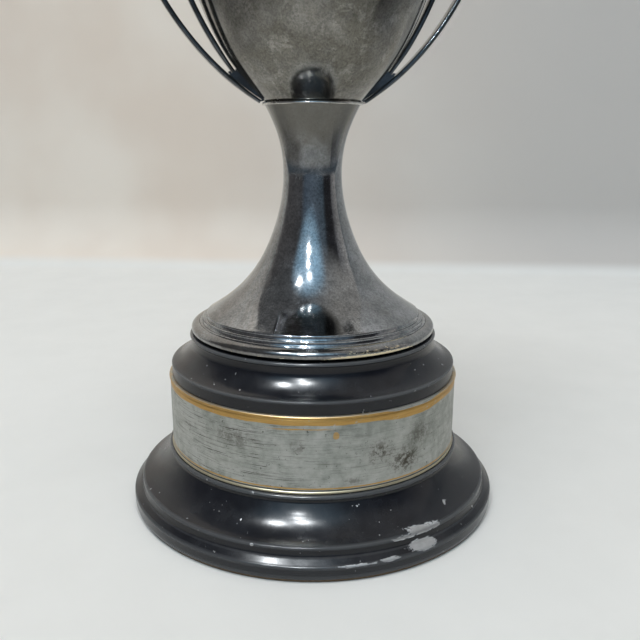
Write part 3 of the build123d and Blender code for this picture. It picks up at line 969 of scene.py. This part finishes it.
# The floor is one pale sheet that sweeps up into a warm wall well behind the cup.
wall_far, sweep_radius, wall_top, floor_half = 0.56, 0.07, 1.6, 2.5
sweep = [(-floor_half, 0.0), (wall_far - sweep_radius, 0.0)]
sweep += [(wall_far - sweep_radius + sweep_radius * math.sin(a), sweep_radius * (1 - math.cos(a)))
          for a in (math.radians(d) for d in range(5, 91, 5))]
sweep += [(wall_far, wall_top)]
wall_turn = math.radians(-14)
verts = []
for x in (-floor_half, floor_half):
    for y, z in sweep:
        verts.append((x * math.cos(wall_turn) - y * math.sin(wall_turn),
                      x * math.sin(wall_turn) + y * math.cos(wall_turn), z))
count = len(sweep)
floor_mesh = bpy.data.meshes.new("floor")
floor_mesh.from_pydata(verts, [], [(i, i + count, i + count + 1, i + 1) for i in range(count - 1)])
floor_mesh.shade_smooth()
floor = in_scene("floor", floor_mesh)
floor_paper, tree, shader, place, run = new_material("floor_paper")
grain = cloud(tree, place, 25.0, 6.0, 0.6)
tone = blend(tree, grain, (0.76, 0.755, 0.73), (0.83, 0.825, 0.80))
rise = axis_of(tree, place, "Z")
patchy = cloud(tree, place, 5.0, 3.0, 0.5)
wall_tone = blend(tree, ease(tree, patchy, 0.35, 0.65), (0.77, 0.665, 0.57), (0.85, 0.77, 0.68))
# Towards the right the wall is darker: painted shade, as it falls away from the lamps on the left.
beside = axis_of(tree, place, "X")
wall_tone = blend(tree, ease(tree, beside, -0.1, 0.4), wall_tone, (0.57, 0.54, 0.51))
tone = blend(tree, ease(tree, rise, 0.001, 0.012), tone, wall_tone)
finish_shader(tree, shader, tone, 0.85)
floor_mesh.materials.append(floor_paper)


def round_the_cup(tree, across, forward):
    """The angle to the right of the camera, from 0 behind the cup, by its left, to 1 behind again."""
    sine, cosine = math.sin(turn), math.cos(turn)
    toward = times(tree, across, -sine, times(tree, forward, -cosine))
    beside = times(tree, across, cosine, times(tree, forward, -sine))
    return times(tree, maths(tree, "ARCTAN2", beside, toward), 0.5 / math.pi, 0.5)


def tones_round(tree, around, tones):
    """Colours placed by their angle to the right of the camera."""
    ramp = add_node(tree, "ShaderNodeValToRGB", None, Fac=around)
    stops = ramp.color_ramp.elements
    while len(stops) < len(tones):
        stops.new(0.5)
    for stop, (angle, tone) in zip(stops, tones):
        stop.position = angle / 360 + 0.5
        stop.color = (*tone, 1)
    return ramp.outputs[0]


# A card lies on the floor round the cup, seen only by what mirrors it: pale near the cup,
# and darker further off, beyond the edge of the table. Its dimmer tones across the front,
# towards the camera, are painted shade: the shadow cast on the cloth from the camera side.
card_tones = [
    (-180, (0.72, 0.70, 0.66)),
    (-132, (0.66, 0.63, 0.58)),
    (-104, (0.26, 0.25, 0.235)),
    (-60, (0.22, 0.21, 0.20)),
    (-34, (0.46, 0.455, 0.44)),
    (71, (0.38, 0.375, 0.355)),
    (73, (0.13, 0.13, 0.14)),
    (100, (0.30, 0.30, 0.305)),
    (128, (0.66, 0.63, 0.58)),
    (180, (0.72, 0.70, 0.66)),
]
card_mesh = bpy.data.meshes.new("card")
card_corners, card_faces, card_steps = [], [], 48
card_hole, card_rim, card_high = 0.09, 2.4, 0.001
for i in range(card_steps):
    a = 2 * math.pi * i / card_steps
    for radius in (card_hole, card_rim):
        card_corners.append((radius * math.sin(a), -radius * math.cos(a), card_high))
    k = (i + 1) % card_steps
    card_faces.append((2 * i, 2 * i + 1, 2 * k + 1, 2 * k))
card_mesh.from_pydata(card_corners, [], card_faces)
card = in_scene("card", card_mesh)
card_cloth, tree, shader, place, run = new_material("card_cloth")
around = round_the_cup(tree, axis_of(tree, place, "X"), axis_of(tree, place, "Y"))
tone = tones_round(tree, around, card_tones)
far = add_node(tree, "ShaderNodeVectorMath", {"operation": "LENGTH"}, i0=place).outputs["Value"]
weave = cloud(tree, place, 9.0, 5.0, 0.6)
far = times(tree, minus(tree, weave, 0.5), 0.12, far)
tone = blend(tree, ease(tree, far, 0.15, 0.42), (0.62, 0.60, 0.56), tone)
tone = blend(tree, ease(tree, far, 0.7, 1.3), tone, (0.10, 0.12, 0.14))
finish_shader(tree, shader, tone, 0.9)
card_mesh.materials.append(card_cloth)
card.visible_camera = card.visible_diffuse = card.visible_shadow = False


def lamp(name, azimuth, elevation, far, size, power, colour=(1, 1, 1), mirrored=True):
    """A square soft lamp that faces the cup. azimuth is to the right of the camera, in degrees."""
    data = bpy.data.lights.new(name, "AREA")
    data.size = size
    data.energy = power
    data.color = colour
    made = in_scene(name, data)
    a, e = math.radians(azimuth) - turn, math.radians(elevation)
    aim = Vector((0, 0, 0.12))
    made.location = aim + far * Vector((math.sin(a) * math.cos(e), -math.cos(a) * math.cos(e), math.sin(e)))
    made.rotation_euler = (aim - made.location).to_track_quat("-Z", "Y").to_euler()
    made.visible_glossy = mirrored
    made.visible_diffuse = not mirrored


# Four ceiling lamps hang above and to the left of the camera, and a wide one lights the room.
lamp_far, lamp_size = 2.2, 0.07
ceiling_lamps = [(-11, 38, 7.0), (-12, 47, 10.0), (-9, 56, 20.0), (-36, 58, 24.0)]
for number, (azimuth, elevation, power) in enumerate(ceiling_lamps):
    lamp("ceiling_lamp_%d" % number, azimuth, elevation, lamp_far, lamp_size, power, (0.93, 0.97, 1.0))
lamp("room_light", -20, 72, 2.4, 1.6, 41.5, (1.0, 0.985, 0.96), mirrored=False)

# Tones of the room round the cup by their angle to the right of the camera: a light wall
# behind, a dim corner to the left, the dark blue in front, then a door post to the right.
room_tones = [
    (-180, (0.80, 0.75, 0.69)),
    (-128, (0.72, 0.67, 0.61)),
    (-100, (0.12, 0.115, 0.115)),
    (-42, (0.10, 0.10, 0.105)),
    (-28, (0.13, 0.17, 0.22)),
    (0, (0.17, 0.22, 0.28)),
    (36, (0.12, 0.16, 0.20)),
    (46, (0.035, 0.036, 0.04)),
    (70, (0.04, 0.04, 0.045)),
    (74, (0.20, 0.20, 0.21)),
    (105, (0.58, 0.56, 0.53)),
    (180, (0.80, 0.75, 0.69)),
]
ceiling_tones = [
    (-180, (0.42, 0.40, 0.375)),
    (-155, (0.42, 0.40, 0.375)),
    (-130, (0.15, 0.15, 0.15)),
    (-55, (0.10, 0.105, 0.11)),
    (20, (0.26, 0.27, 0.28)),
    (75, (0.40, 0.39, 0.37)),
    (180, (0.42, 0.40, 0.375)),
]
world = bpy.data.worlds.new("room")
scene.world = world
world.use_nodes = True
tree = world.node_tree
sky = tree.nodes["Background"]
direction = add_node(tree, "ShaderNodeTexCoord").outputs["Generated"]
around = round_the_cup(tree, axis_of(tree, direction, "X"), axis_of(tree, direction, "Y"))
ceiling = ease(tree, axis_of(tree, direction, "Z"), 0.50, 0.78)
room = blend(tree, ceiling, tones_round(tree, around, room_tones), tones_round(tree, around, ceiling_tones))
glow_side, glow_out, glow_up = math.radians(-10) - turn, 0.68, 0.73
glow_way = (math.sin(glow_side) * glow_out, -math.cos(glow_side) * glow_out, glow_up)
near_lamps = add_node(tree, "ShaderNodeVectorMath", {"operation": "DOT_PRODUCT"}, i0=direction,
                      i1=glow_way).outputs["Value"]
room = blend(tree, ease(tree, near_lamps, 0.84, 0.99), room, (0.54, 0.86, 1.12))
seen = add_node(tree, "ShaderNodeLightPath").outputs["Is Camera Ray"]
room = blend(tree, seen, room, (0.60, 0.56, 0.51))
tree.links.new(room, sky.inputs["Color"])
sky.inputs["Strength"].default_value = 1.0
